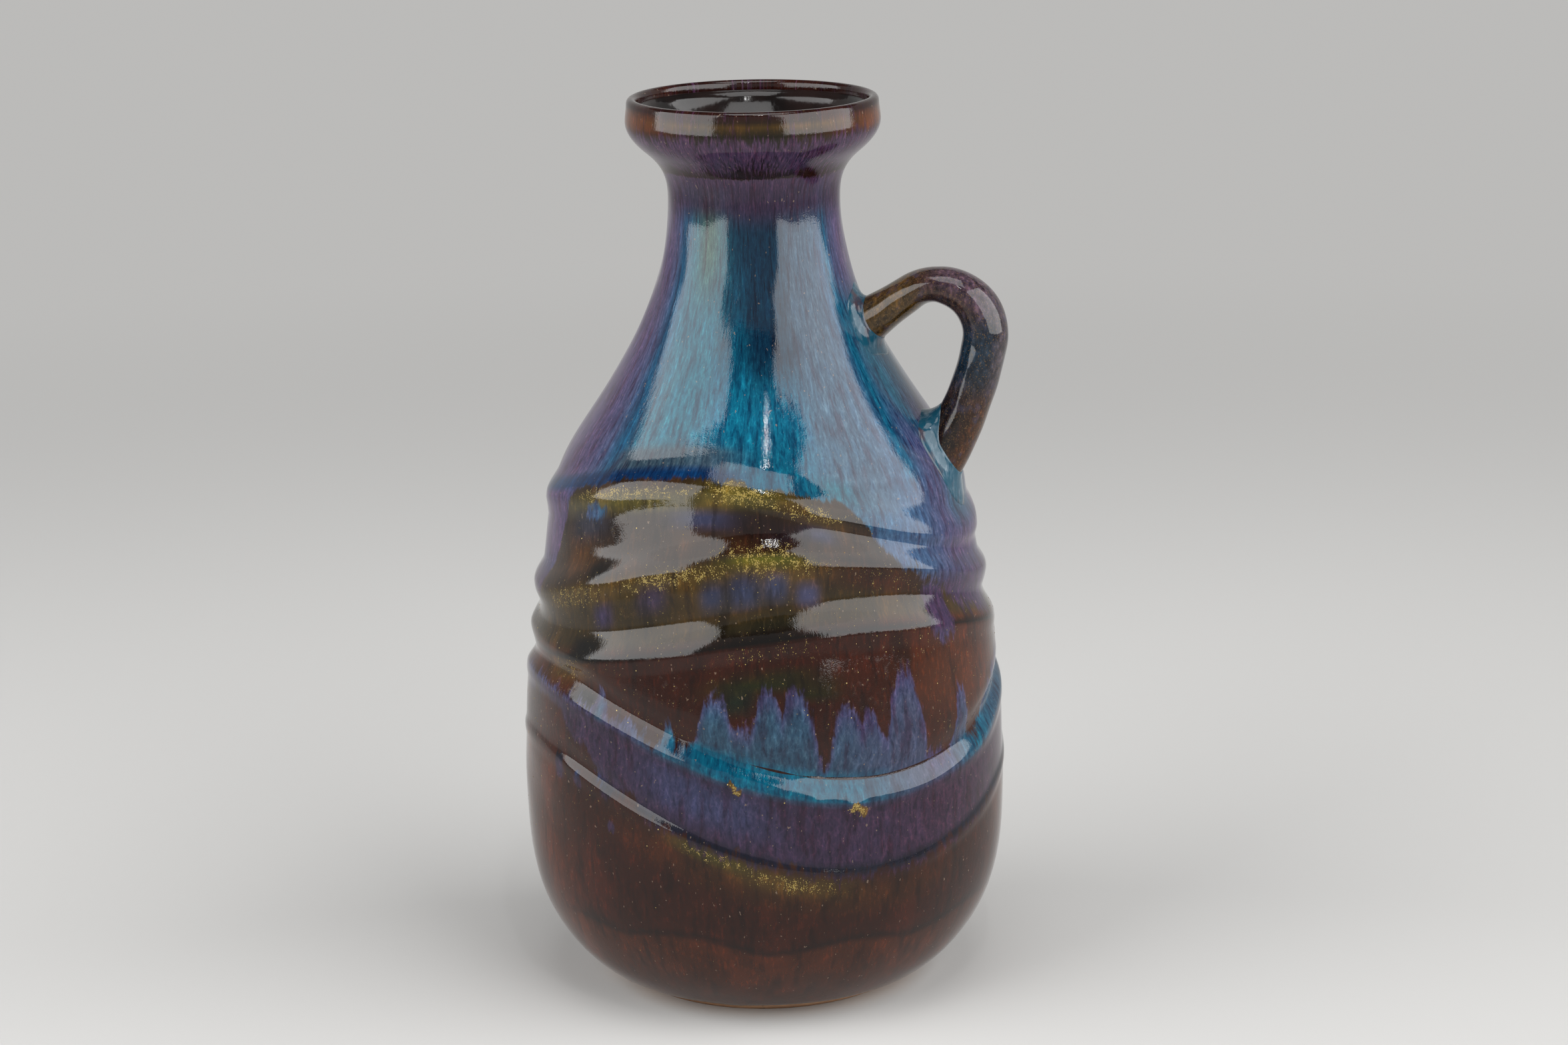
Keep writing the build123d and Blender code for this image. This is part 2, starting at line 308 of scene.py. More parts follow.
CLAY_COLUMNS = 192
# How far the clay stands back from the coats over it, outside and in, so that no faces are shared.
CLAY_GAP, HOLLOW_GAP = 0.15, 0.1
turns = np.arange(CLAY_COLUMNS) * 2 * pi / CLAY_COLUMNS


def hollow_radius(height):
    """Radius of the hollow in the clay."""
    low = bowl(height, BELLY_RADIUS - WALL - GLAZE, FLOOR_RADIUS, FLOOR_HEIGHT)
    return np.where(height < BELLY_HEIGHT, low, chain(height, HOLLOW))


def lip_round(thickness, middle, steps):
    """Heights and radii over the round of the lip, from its outer to its inner side."""
    half = thickness / 2
    angle = np.linspace(0, pi, steps + 2)[1:-1]
    return LIP_HEIGHT + half * np.sin(angle), middle + half * np.cos(angle)


def level_rows(heights, radii):
    """Rings that lie flat, as rows of heights and of radii."""
    return [np.tile(np.array(values)[:, None], turns.size) for values in (heights, radii)]


# From the middle of the recess under the foot, up the outside, over the lip and down the hollow.
ring_radius = FOOT_RADIUS - FOOT_RING
foot = [
    (4.0, FOOT_RECESS),
    (14.0, FOOT_RECESS),
    (ring_radius - 3.2, FOOT_RECESS),
    (ring_radius - 1.7, FOOT_RECESS * 0.85),
    (ring_radius - 0.35, 0.25),
    (ring_radius, 0.0),
    (FOOT_RADIUS - EDGE_IN, 0.0),
]
foot_r, foot_z = zip(*foot)
start_z, start_r = level_rows(foot_z, foot_r)
outer_heights = wall_rows(turns, hem=0.0, per_mm=0.35)
outer_radii = outside_radius(outer_heights) - pressed_in(outer_heights, turns) - GLAZE - CLAY_GAP
outer_heights[0] += EDGE_UP
lip_middle = LIP_RADIUS - GLAZE - LIP_CLAY / 2
lip_z, lip_r = lip_round(LIP_CLAY - 2 * CLAY_GAP, lip_middle, 5)
neck_z, belly_z = np.linspace(LIP_HEIGHT, 140, 34), np.linspace(136, 10, 36)
hollow_z = np.concatenate([neck_z, belly_z, [8, 7, FLOOR_HEIGHT]])
floor_r = np.linspace(FLOOR_RADIUS - 2, 3, 8)
in_z, in_r = level_rows(
    np.concatenate([lip_z, hollow_z, np.full_like(floor_r, FLOOR_HEIGHT)]),
    np.concatenate([lip_r, hollow_radius(hollow_z) + HOLLOW_GAP, floor_r]),
)
all_z = np.vstack([start_z, outer_heights, in_z])
all_r = np.vstack([start_r, outer_radii, in_r])
clay = tube("clay_body", turned(all_z, all_r), "pointed")
bare_clay = fired_clay("bare_stoneware")
stand("clay_body", clay, bare_clay, ["stoneware_body"])

# --- Outer glaze --------------------------------------------------------------------------------
# Two glazes poured over each other. A blue one that breaks from teal to violet has run down in
# streaks over an iron brown one, has pooled on the ledges, and left gold crystals on the crests.
COAT_COLUMNS = 384
HEM = 2.6
turns = np.arange(COAT_COLUMNS) * 2 * pi / COAT_COLUMNS
face = (np.degrees(turns) + HANDLE_TURN + 180.0) % 360.0 - 180.0


def wobble(seed, waves):
    """A smooth random line round the body, about 1 high, with this many waves or fewer."""
    draw = np.random.default_rng(seed)
    line = np.zeros_like(turns)
    for count in range(1, waves + 1):
        size = draw.normal() / waves**0.5
        line += size * np.cos(count * turns + draw.uniform(0, 2 * pi))
    return line


def hump(value, centre, half, power=2.0):
    """1 at the centre, falling off at half to either side."""
    return np.exp(-np.abs((value - centre) / half) ** power)


def around(face_turn, centre, half, power=2.0):
    """A hump in the turn from the show face, in degrees, that knows the body is round."""
    away = (face_turn - centre + 180.0) % 360.0 - 180.0
    return np.exp(-np.abs(away / half) ** power)


# Below, look is a point's turn from the show face in degrees, and rises are its heights above the
# ledges, from the lowest one up.
heights = wall_rows(turns, HEM, per_mm=0.88)
heights[0] += 0.25 * wobble(3, 14)
look = np.broadcast_to(face, heights.shape)
crests = [ledge_line(ledge, turns) for ledge in LEDGES]
rises = [heights - crest for crest in crests]
rise_1, rise_2, rise_3, rise_4, rise_5 = rises

# Where the blue glaze ends: below the shoulder, and in flames above the second ledge. The flow is
# roughly how far a point lies inside its edge. In the windows the brown reaches the top ledge.
window = smooth(face, -75, -58) * (1 - smooth(face, 24, 40))
window = np.maximum(window, smooth(face, 108, 140) * (1 - smooth(face, 146, 178)))
shoulder_end = crests[3] + 1.0 + (crests[4] - crests[3] + 0.8) * window + 0.5 * wobble(11, 40)
shoulder_end -= 9 * around(face, 70, 22) + 6 * around(face, -100, 25) + 5 * around(face, 150, 30)
upper_flow = (heights - shoulder_end) * (1 + 2.2 * window)
# Turn, half width and height of each flame above the ledge, and of the low sheet that joins them.
FLAMES = [
    (20, 36, 6), (-3, 13, 12), (-11, 5.0, 17.5), (1.5, 4.5, 22), (8, 5.0, 23), (20, 5.0, 20.5),
    (26, 4.5, 18.5), (30, 9, 14), (35.5, 6.0, 26.5), (54.5, 3.0, 17), (-22.6, 1.2, 9),
    (-42, 1.6, 6), (78, 14, 11), (96, 7, 17), (112, 9, 19), (130, 7, 25), (148, 9, 20),
    (167, 8, 28), (-174, 8, 19), (-155, 9, 13), (-132, 7, 9), (138, 62, 9),
]
flames = np.zeros_like(face)
for centre, half, tall in FLAMES:
    flames = np.maximum(flames, tall * around(face, centre, half, 3.0))
flame_top = flames + 0.6
ragged = 4.0 * wobble(21, 30) + 3.0 * wobble(22, 60)
band_gap = 16 * (1 - smooth(face, -60, -46)) * smooth(face, -150, -118)
band_gap += np.clip(4.0 + ragged, 0, 16) * (1 - smooth(face, -40, -18)) * smooth(face, -128, -80)
lower_flow = np.minimum(flame_top - rise_2, rise_1 + 0.3 - band_gap * (1 - 0.035 * rise_1))
flow = np.maximum(upper_flow, np.minimum(lower_flow, 4.8))


def stroke(ledge_rise, turn, half_turn, rise, half_rise):
    """A soft patch of glaze at a turn from the show face and a rise above a ledge."""
    return around(look, turn, half_turn, 3.0) * hump(ledge_rise, rise, half_rise, 3.0)


# Stray patches of blue: ledge from 0 up, turn, half turn, rise, half rise.
PATCH_OUTSIDE, PATCH_MIDDLE = -4.2, 2.8
BLUE_PATCHES = [
    (4, -50, 5, -5.0, 2.4), (3, 50, 5, -9.0, 8.0), (0, -56, 2.0, -1.5, 3.5),
    (0, -49, 1.6, -1.5, 2.5), (0, -38, 1.6, -7.5, 1.6), (1, -33, 3.0, 0.5, 3.0),
    (0, 150, 5, -2, 4), (3, 110, 6, -6, 3), (3, 140, 7, -7, 3), (3, 176, 6, -5, 3),
    (3, -120, 8, -6, 3), (0, -90, 4, 3, 4),
]
for ledge, *place in BLUE_PATCHES:
    patch = stroke(rises[ledge], *place)
    flow = np.maximum(flow, (PATCH_MIDDLE - PATCH_OUTSIDE) * patch + PATCH_OUTSIDE)
rim_flow = 3.4 * hump(heights, 199.6, 4.4, 4.0) - 1.9 + 0.5 * wobble(13, 30)
on_rim = smooth(heights, 185.0, 194.0)
flow = flow * (1 - on_rim) + rim_flow * on_rim

# Relief: glaze pooled thick on the ledges, a slow unevenness, and lumps where it hung in drops.
# Turn, rise above the second ledge, half size and height of each lump.
LUMPS = [
    (-12, -1.0, 3.0, 0.35), (-6.5, -1.6, 1.5, 0.9), (3, -1.0, 3.4, 0.35), (21, -2.2, 2.6, 0.6),
    (12, -1.2, 2.6, 0.3), (-17, 2.4, 2.4, 0.3), (-9, 3.2, 2.2, 0.3), (8, 3.4, 3.0, 0.25),
]
SWELL_RADIUS, LUMP_RADIUS = 54.0, 55.0
arc = np.radians(look) * SWELL_RADIUS
swell = 0.06 * np.sin(arc / 5.1 + heights / 4.3 + 1.5 * np.sin(heights / 9))
swell += 0.05 * np.sin(arc / 3.3 - heights / 7.7 + 2.0 * np.sin(arc / 17))
swell += 0.12 * smooth(flame_top - rise_2, -1.5, 1.5) * smooth(rise_2, 0, 3)
for centre, above, size, tall in LUMPS:
    aside = np.radians(look - centre) * LUMP_RADIUS
    swell += tall * np.exp(-((aside / size) ** 2) - ((rise_2 - above) / size) ** 2)
# The lowest ledge is nearly filled up with glaze, but for a stretch at the left.
lowest = LEDGES[0]
filled = 0.96 * (1 - 0.9 * around(look, -38, 18, 4)) * lowest.depth
swell += filled * smooth(rise_1, 0, lowest.step) * (1 - smooth(rise_1, lowest.step, 7))
swell *= smooth(heights, HEM, HEM + 6) * (1 - smooth(heights, 180, 195))
radii = outside_radius(heights) - pressed_in(heights, turns) + swell
radii[0] -= GLAZE * 0.7
radii[1] -= GLAZE * 0.15

# The coat goes over the lip, a little way in, and back down behind its own face.
BACK_GAP = 0.05
lip_z, lip_r = lip_round(LIP_CLAY + 2 * GLAZE, lip_middle, 6)
inner_z, inner_r = [0.0, -0.7, -1.5], [-GLAZE, -GLAZE, -GLAZE - 0.1]
back_z, back_r = [-1.5, 0.0], [0.1, 0.1]
over_z, over_r = level_rows(
    np.concatenate([lip_z, LIP_HEIGHT + np.array(inner_z + back_z + [0.4])]),
    np.concatenate([lip_r, lip_middle - LIP_CLAY / 2 + np.array(inner_r + back_r), [lip_middle]]),
)
skin_z, skin_r = heights[::3][::-1], radii[::3][::-1] - GLAZE - BACK_GAP
skin_z[-1] = heights[0] + 0.15
all_z = np.vstack([heights, over_z, skin_z])
all_r = np.vstack([radii, over_r, skin_r])
coat = tube("outer_glaze_coat", turned(all_z, all_r), "joined")


def brush(colours, layers):
    """The colours at all points, with layers of a weight at each point and a colour laid over."""
    for weight, colour in layers:
        share = np.clip(weight, 0, 1)[..., None]
        colours = colours * (1 - share) + np.array(colour) * share
    return colours


def plain(colour, points):
    """One colour at all of the points."""
    return np.broadcast_to(np.array(colour), (*points.shape, 3))


# Brown ground of iron glaze, from red brown at the foot to olive between the upper ledges.
IRON_RED = (0.0155, 0.0028, 0.0009)
IRON_AMBER = (0.050, 0.0115, 0.002)
TENMOKU = (0.0008, 0.0005, 0.0004)
OLIVE = (0.018, 0.0105, 0.0018)
MOSS = (0.050, 0.058, 0.004)
DARK_MOSS = (0.006, 0.009, 0.0015)
GOLD_BROWN = (0.042, 0.025, 0.004)
RUTILE = (0.055, 0.046, 0.010)
DUSK = (0.012, 0.020, 0.055)
PLUM = (0.022, 0.016, 0.050)
from_face = np.abs(look)
# The amber lies below a dark scalloped line, and round the sides.
scallop = 22 + 2.2 * wobble(31, 9) + 1.5 * np.abs(np.sin(np.radians(face) * 5))
side_amber = 0.45 * smooth(from_face, 35, 75) * (0.6 + 0.4 * wobble(32, 12))
ground = brush(plain(IRON_RED, heights), [
    (0.40 * (1 - smooth(heights, scallop - 1.0, scallop + 0.5)), IRON_AMBER),
    (0.6 * hump(heights, scallop + 0.8, 0.8), TENMOKU),
    (side_amber * (1 - smooth(rise_1, -2, 0)), IRON_AMBER),
    (0.35 * smooth(rise_2, 0, 2) * smooth(from_face, 30, 65), IRON_AMBER),
    (smooth(rise_3, 0.5, 3.5) * (1 - smooth(rise_4, -1, 1)), OLIVE),
    (smooth(rise_4, -1, 0.5), (0.016, 0.008, 0.004)),
])
# Strokes over it: ledge, turn, half turn, rise, half rise, strength, colour.
GROUND_STROKES = [
    (4, -40, 26, -3.0, 2.4, 0.95, RUTILE), (4, -3, 14, -0.9, 2.8, 0.95, RUTILE),
    (4, 14, 9, -2.4, 2.6, 0.9, GOLD_BROWN), (4, 31, 14, -1.2, 1.3, 0.8, TENMOKU),
    (4, -12, 12, -6.6, 2.0, 0.8, DUSK), (4, 4, 5, -7.0, 2.0, 0.7, DUSK),
    (4, 15, 5, -6.0, 1.6, 0.8, DUSK), (4, -52, 8, -7.5, 4.0, 0.8, (0.010, 0.014, 0.026)),
    (3, -54, 9, 6.0, 4.0, 0.6, (0.036, 0.016, 0.005)), (3, -45, 5, 2.2, 2.6, 0.9, TENMOKU),
    (3, 2, 14, 6.2, 5.0, 0.95, (0.008, 0.003, 0.0015)), (3, 1, 10, -0.9, 1.5, 0.95, MOSS),
    (3, 31, 17, 0.0, 0.8, 0.95, TENMOKU), (3, -52, 15, -2.8, 2.8, 0.9, GOLD_BROWN),
    (3, -20, 22, -2.8, 2.4, 0.9, GOLD_BROWN), (3, 5, 14, -3.0, 2.4, 0.85, (0.032, 0.020, 0.004)),
    (3, 33, 17, -3.4, 3.4, 0.8, (0.022, 0.004, 0.001)), (3, -43, 3, -8.5, 2.6, 0.9, PLUM),
    (3, -28, 4, -6.5, 3.0, 0.6, PLUM), (3, -12, 3, -8.0, 3.0, 0.7, DUSK),
    (3, -4, 4, -7.4, 3.6, 0.85, DUSK), (3, 4, 3, -6.8, 3.2, 0.8, DUSK),
    (3, 12, 3, -8.4, 2.6, 0.8, (0.020, 0.026, 0.070)),
    (2, 0, 14, 3.0, 2.6, 0.6, (0.003, 0.006, 0.006)), (2, -2, 12, 0.8, 1.6, 0.8, TENMOKU),
    (2, -56, 9, -2.5, 3.2, 0.7, GOLD_BROWN), (2, 0, 13, -9.4, 2.2, 0.9, DARK_MOSS),
    (2, -6, 4, -13.0, 2.4, 0.9, (0.003, 0.008, 0.004)), (2, 13, 6, -12.5, 1.8, 0.8, DARK_MOSS),
    (2, 50, 16, -12.0, 8.0, 0.6, IRON_AMBER), (1, 22, 24, -3.6, 2.2, 0.85, (0.036, 0.017, 0.008)),
    (0, 6, 14, -3.4, 2.6, 0.9, GOLD_BROWN), (0, -12, 10, -2.0, 1.8, 0.85, (0.036, 0.030, 0.004)),
    (0, 8, 40, -6.0, 4.0, 0.35, (0.028, 0.012, 0.002)),
    (0, 4, 12, 3.2, 2.2, 0.7, (0.040, 0.016, 0.005)),
]
for ledge, *place, strength, colour in GROUND_STROKES:
    ground = brush(ground, [(strength * stroke(rises[ledge], *place), colour)])
tips = around(look, -48, 6, 4) + around(look, 49, 4.5, 4)
rim_front = around(look, 0, 52, 5)
ground = brush(ground, [
    (tips * hump(rise_3, 2.2, 3.0, 4) + hump(rise_3, 0.2, 0.7), TENMOKU),
    (around(look, -47, 5.5, 4) * hump(rise_2, 1.8, 2.6, 4), TENMOKU),
    (smooth(heights, 184, 192), (0.010, 0.003, 0.003)),
    (smooth(heights, 200.5, 204.5) * rim_front, (0.007, 0.005, 0.002)),
    (smooth(heights, 202.5, 205.5) * (1 - rim_front), (0.075, 0.020, 0.004)),
    (hump(heights, 206.6, 0.9) * rim_front, (0.034, 0.018, 0.003)),
    (smooth(heights, 207.2, 208.4), (0.012, 0.003, 0.002)),
])

# Blue glaze: teal on the show face and where it pools, slate and violet round the sides. The violet
# round the sides is partly the glaze's own and partly a painted reddish reflection.
TEAL = (0.001, 0.080, 0.138)
POOL_TEAL = (0.001, 0.050, 0.088)
SLATE = (0.022, 0.050, 0.105)
VIOLET = (0.045, 0.019, 0.060)
NAVY = (0.001, 0.006, 0.018)
INK = (0.001, 0.0025, 0.008)
blue = brush(plain(SLATE, heights), [
    # Painted reflection in part: violet grows towards both sides of the show face, over the glaze's
    # own.
    (0.75 * smooth(from_face, 46, 70), VIOLET),
    (0.5 * smooth(from_face, 48, 80) * (1 - smooth(heights, 112, 132)), VIOLET),
    (0.9 * around(look, 2, 34, 3) * smooth(heights, 112, 122), TEAL),
    (0.9 * around(look, 5, 34, 3) * smooth(heights, 140, 156), NAVY),
    (0.9 * around(look, -33, 16, 4) * smooth(heights, 118, 124), (0.004, 0.070, 0.105)),
    (0.8 * around(look, -30, 9) * smooth(heights, 160, 178), (0.030, 0.060, 0.040)),
    (0.8 * around(look, 30, 13, 4) * smooth(heights, 118, 124), (0.024, 0.048, 0.078)),
    (0.9 * around(look, -50, 4) * smooth(heights, 122, 130), (0.001, 0.040, 0.090)),
    (0.9 * around(look, 50, 3.5) * smooth(heights, 122, 130), (0.001, 0.055, 0.105)),
    (0.6 * around(look, -9, 5) * hump(heights, 146, 16), TEAL),
    (0.6 * around(look, 4, 12, 3) * (1 - smooth(heights, 130, 145)), (0.001, 0.034, 0.062)),
])
# Round the roots of the handle, and in a streak that runs down between them.
root_line = 60 + (150 - heights) * 0.35
streak_down = np.exp(-(((look - root_line) / 4) ** 2)) * 0.85
upper_root = around(look, HANDLE_TURN, 26, 4) * hump(heights, 153, 14, 4)
lower_root = around(look, HANDLE_TURN, 12, 4) * hump(heights, 121, 9, 4)
blue = brush(blue, [
    (streak_down * hump(heights, 148, 16, 4), (0.001, 0.070, 0.120)),
    (0.85 * upper_root, (0.004, 0.050, 0.085)),
    (0.85 * lower_root, (0.004, 0.050, 0.085)),
    (smooth(heights, 181, 188) * 0.9, (0.020, 0.010, 0.026)),
])
# In the pool on the top ledge, at the left of the show face and a little at its right.
pool_left = smooth(rise_5, 0, 1.5) * smooth(-look, -2, 16) * (1 - smooth(-look, 90, 150))
pool_edge = (1 - smooth(rise_5, 7.0, 9.5)) * (1 - smooth(-look, 44, 54))
blue = brush(blue, [
    (0.8 * pool_left * pool_edge, (0.024, 0.030, 0.040)),
    (pool_left * (1 - smooth(rise_5, 3.2, 4.8)), (0.001, 0.014, 0.050)),
    (hump(rise_5, 4.0, 2.4, 3) * around(look, 23, 7), (0.001, 0.055, 0.085)),
])
# In the flames and the violet band below them.
low_blue = 1 - smooth(heights, 100, 108)
pooled = around(look, 2, 30, 5) + around(look, 62, 9)
pool_top = 4.4 + 0.9 * wobble(41, 24)
pooled = pooled * smooth(rise_2, -1.6, -0.6) * (1 - smooth(rise_2, pool_top, pool_top + 1.2))
blue = brush(blue, [
    (low_blue, (0.012, 0.037, 0.066)),
    (low_blue * 0.6 * around(look, 42, 24, 3), (0.031, 0.026, 0.058)),
    (low_blue * 0.75 * (1 - smooth(flame_top - rise_2, 0, 6)), (0.034, 0.029, 0.080)),
    (low_blue * (1 - smooth(rise_2, -1.5, 0.5)), (0.018, 0.010, 0.026)),
    (0.9 * stroke(rise_2, -14, 16, -7.5, 5.5), (0.018, 0.022, 0.056)),
    (0.6 * smooth(look, 20, 50) * (1 - smooth(rise_2, -1.5, 0)), (0.022, 0.008, 0.018)),
    (pooled, POOL_TEAL),
    (0.95 * hump(rise_1, 0.9, 1.3, 3), INK),
    (around(look, -47, 6, 4) * hump(rise_1, 1.2, 2.0, 3), (0.002, 0.016, 0.060)),
    ((1 - smooth(heights, 100, 106)) * smooth(rise_3, -4, 0), (0.026, 0.014, 0.040)),
    (smooth(heights, 190, 195), (0.040, 0.022, 0.050)),
])

# Where gold crystals stand in the glaze: ledge, turn, half turn, rise, half rise, how thickly.
GOLD_STROKES = [
    (4, -38, 24, -1.2, 2.0, 0.95), (4, -4, 13, -0.2, 3.2, 1.0), (4, 14, 10, -1.8, 2.4, 0.9),
    (4, 32, 14, -0.9, 1.2, 0.6), (3, -54, 14, -2.6, 2.8, 0.85), (3, -22, 22, -2.4, 2.6, 0.95),
    (3, 4, 16, -2.0, 2.8, 0.9), (3, 0, 13, 1.4, 2.2, 0.95), (3, 34, 18, -3.0, 3.4, 0.5),
    (2, 0, 16, -2.6, 2.6, 0.55), (2, -55, 10, -2.5, 3.0, 0.6), (2, 40, 20, -3.0, 3.0, 0.45),
    (1, 22, 22, -3.4, 2.2, 0.75), (1, -6.5, 2.2, -1.6, 1.6, 1.3), (1, 22, 3.4, -2.4, 2.0, 1.25),
    (0, 7, 14, -3.2, 2.2, 0.85), (0, -11, 11, -2.0, 1.8, 0.75), (4, 140, 18, -1.5, 2.5, 0.9),
    (3, 135, 30, -2.5, 2.6, 0.8), (3, -110, 30, -2.5, 2.6, 0.7), (0, 170, 25, -2.5, 2.0, 0.7),
]
gold = 0.22 * smooth(heights, 25, 60)
for ledge, *place, strength in GOLD_STROKES:
    gold = np.maximum(gold, strength * stroke(rises[ledge], *place))
# Two chunks of crystal hang under the second ledge, clear of the blue.
chunks = stroke(rise_2 + 0.9 * np.sin(look * 1.9), -6.5, 1.6, -1.6, 1.0)
chunks += 0.8 * stroke(rise_2 + 0.8 * np.sin(look * 1.4), 22, 2.6, -2.4, 1.3)
flow = flow - 12 * chunks
ground = brush(ground, [(chunks, (0.105, 0.060, 0.010))])
gold = gold * (1 - 0.85 * smooth(flow, 0.5, 3)) * (1 - smooth(heights, 130, 133))


def paint(mesh, name, values, kind="FLOAT"):
    """Store values of the outside rows as an attribute. The rows inside take those of the lip."""
    colour = kind == "FLOAT_COLOR"
    width = 4 if colour else 1
    stored = np.zeros((len(mesh.vertices), width))
    rows = values.reshape(-1, 3 if colour else 1)
    stored[: len(rows), : rows.shape[1]] = rows
    rest = len(stored) - len(rows)
    if rest:
        last = np.tile(rows[-COAT_COLUMNS:], (rest // COAT_COLUMNS + 1, 1))[:rest]
        stored[len(rows) :, : rows.shape[1]] = last
    attribute = mesh.attributes.new(name, kind, "POINT")
    attribute.data.foreach_set("color" if colour else "value", stored.ravel())


# Where a drop would run: round the body, and down its slope.
RUN_RADIUS = 46.0
slope = np.hypot(np.diff(heights, axis=0), np.diff(outside_radius(heights), axis=0))
run_down = np.vstack([heights[:1], heights[:1] + np.cumsum(slope, axis=0)])
run_x = np.broadcast_to(RUN_RADIUS * np.cos(turns), heights.shape)
run_y = np.broadcast_to(RUN_RADIUS * np.sin(turns), heights.shape)
run = np.stack([run_x, run_y, run_down], axis=-1) * MM

flowing, shader, at = finish("flowing_glaze", roughness=0.05, ior=1.41)
painted = {}
for name, values in (("ground", ground), ("blue", blue), ("run", run)):
    paint(coat, name, values, "FLOAT_COLOR")
    painted[name] = at.node("ShaderNodeAttribute", {"attribute_name": name}, {}, 0)
for name, values, least, most in (("flow", flow, -12, 12), ("gold", gold, 0, 1)):
    paint(coat, name, np.clip(values, least, most))
    painted[name] = at.node("ShaderNodeAttribute", {"attribute_name": name}, {}, 2)
hair = painted["run"].noise((1500, 1500, 420), 3.0, 0.6)
streak = painted["run"].noise((560, 560, 110), 3.0, 0.55)
cloud = at.noise((110, 110, 70), 3.0, 0.5)
grain = at.noise((3600, 3600, 3000), 1.5, 0.5)
clump = at.noise((800, 800, 600), 2.0, 0.5)
# Blue fibres lie over the brown wherever the flow, frayed by the streaks and hairs, is above zero.
edge = painted["flow"] + (streak - 0.5) * 9.0 + (hair - 0.5) * 7.0
cover = edge.eased(-1.5, 1.6)
brown = painted["ground"]
brown = hair.eased(0.50, 0.72).mixed(brown, brown.scaled((1.9, 1.7, 1.5)))
brown = (streak.eased(0.50, 0.68) * 0.7).mixed(brown, brown.scaled((0.35, 0.30, 0.30)))
brown = cloud.eased(0.45, 0.7).mixed(brown, brown.scaled((1.8, 1.6, 1.4)))
fibres = painted["blue"]
fibres = hair.eased(0.50, 0.74).mixed(fibres, fibres.scaled((1.9, 1.65, 1.45)))
fibres = hair.eased(0.50, 0.30).mixed(fibres, fibres.scaled((0.45, 0.50, 0.60)))
fibres = (streak.eased(0.50, 0.66) * 0.9).mixed(fibres, fibres.scaled((0.70, 0.42, 0.52)))
fibres = (streak.eased(0.46, 0.32) * 0.8).mixed(fibres, fibres.scaled((1.40, 1.45, 1.45)))
curl = painted["run"].noise((620, 620, 320), 2.5, 0.55) - 0.5
curl = 1 - (curl * curl).eased(0.0, 0.0016)
fibres = (curl * 0.55).mixed(fibres, fibres.scaled((1.9, 1.55, 1.40)))
sparkle = (painted["gold"] + (grain - 0.5) * 3.2 + (clump - 0.5) * 2.0).eased(1.06, 1.30)
pin_holes = at.noise((1300, 1300, 900), 1.0).eased(0.745, 0.77)
glaze_colour = cover.mixed(brown, fibres)
glaze_colour = (sparkle * 0.7).mixed(glaze_colour, (0.30, 0.22, 0.060, 1))
feed(shader, "Base Color", (pin_holes * 0.5).mixed(glaze_colour, (0.20, 0.14, 0.10, 1)))
dull = clump.eased(0.54, 0.70) * (1 - cover)
feed(shader, "Roughness", dull * 0.10 + sparkle * 0.12 + (hair * 0.03 + 0.035))
bumped(shader, hair * 0.5 + grain * 0.30 + clump * 0.6 + streak * 0.5, 0.00003)
stand("outer_glaze_coat", coat, flowing, ["outer_glaze"])

# --- Gold flecks --------------------------------------------------------------------------------
# Crystals of rutile that grew out of the glaze as it cooled. They stand a hair proud of it, and lie
# thickest on the crests of the ledges.
FLECKS_PER_AREA, FLECK_SEED, LARGEST_FLECK = 520000.0, 5, 0.19
SMALLEST_SHARE, FLATNESS, GOLD_CONTRAST = 0.3, 0.35, 2.2
rutile, shader, at = finish("rutile_crystal", roughness=0.22, ior=1.6)
glimmer = at.noise((900, 900, 900), 1.0).eased(0.35, 0.65)
feed(shader, "Base Color", glimmer.mixed((0.11, 0.060, 0.010, 1), (0.40, 0.30, 0.10, 1)))
shader.inputs["Metallic"].default_value = 0.35

flecks_tree = bpy.data.node_groups.new("scatter_flecks", "GeometryNodeTree")
sockets = flecks_tree.interface
sockets.new_socket("Geometry", in_out="INPUT", socket_type="NodeSocketGeometry")
sockets.new_socket("Geometry", in_out="OUTPUT", socket_type="NodeSocketGeometry")
dials = {}
for title, kind, value in (
    ("Flecks per square metre", "NodeSocketFloat", FLECKS_PER_AREA),
    ("Seed", "NodeSocketInt", FLECK_SEED),
    ("Largest fleck", "NodeSocketFloat", LARGEST_FLECK * MM),
):
    dials[sockets.new_socket(title, in_out="INPUT", socket_type=kind).identifier] = value
came_in = flecks_tree.nodes.new("NodeGroupInput")
went_out = flecks_tree.nodes.new("NodeGroupOutput")
skin, per_area, seed, largest = [Signal(came_in.outputs[place]) for place in range(4)]
gold_here = skin.node("GeometryNodeInputNamedAttribute", {"data_type": "FLOAT"}, {"Name": "gold"})
thickly = skin.math("POWER", gold_here, GOLD_CONTRAST) * per_area
inputs = {"Mesh": skin, "Density": thickly, "Seed": seed}
spots = skin.node("GeometryNodeDistributePointsOnFaces", {}, inputs)
outward = Signal(spots.socket.node.outputs["Rotation"])
bead = skin.node("GeometryNodeMeshIcoSphere", {}, {"Radius": 1.0, "Subdivisions": 1})
inputs = {2: SMALLEST_SHARE, 3: 1.0, "Seed": seed}
wide = skin.node("FunctionNodeRandomValue", {"data_type": "FLOAT"}, inputs, 1) * largest
scale = skin.node("ShaderNodeCombineXYZ", {}, {"X": wide, "Y": wide, "Z": wide * FLATNESS})
inputs = {"Points": spots, "Instance": bead, "Rotation": outward, "Scale": scale}
strewn = skin.node("GeometryNodeInstanceOnPoints", {}, inputs)
solid = skin.node("GeometryNodeRealizeInstances", {}, {0: strewn})
coloured = skin.node("GeometryNodeSetMaterial", {}, {0: solid, "Material": rutile})
flecks_tree.links.new(coloured.socket, went_out.inputs[0])

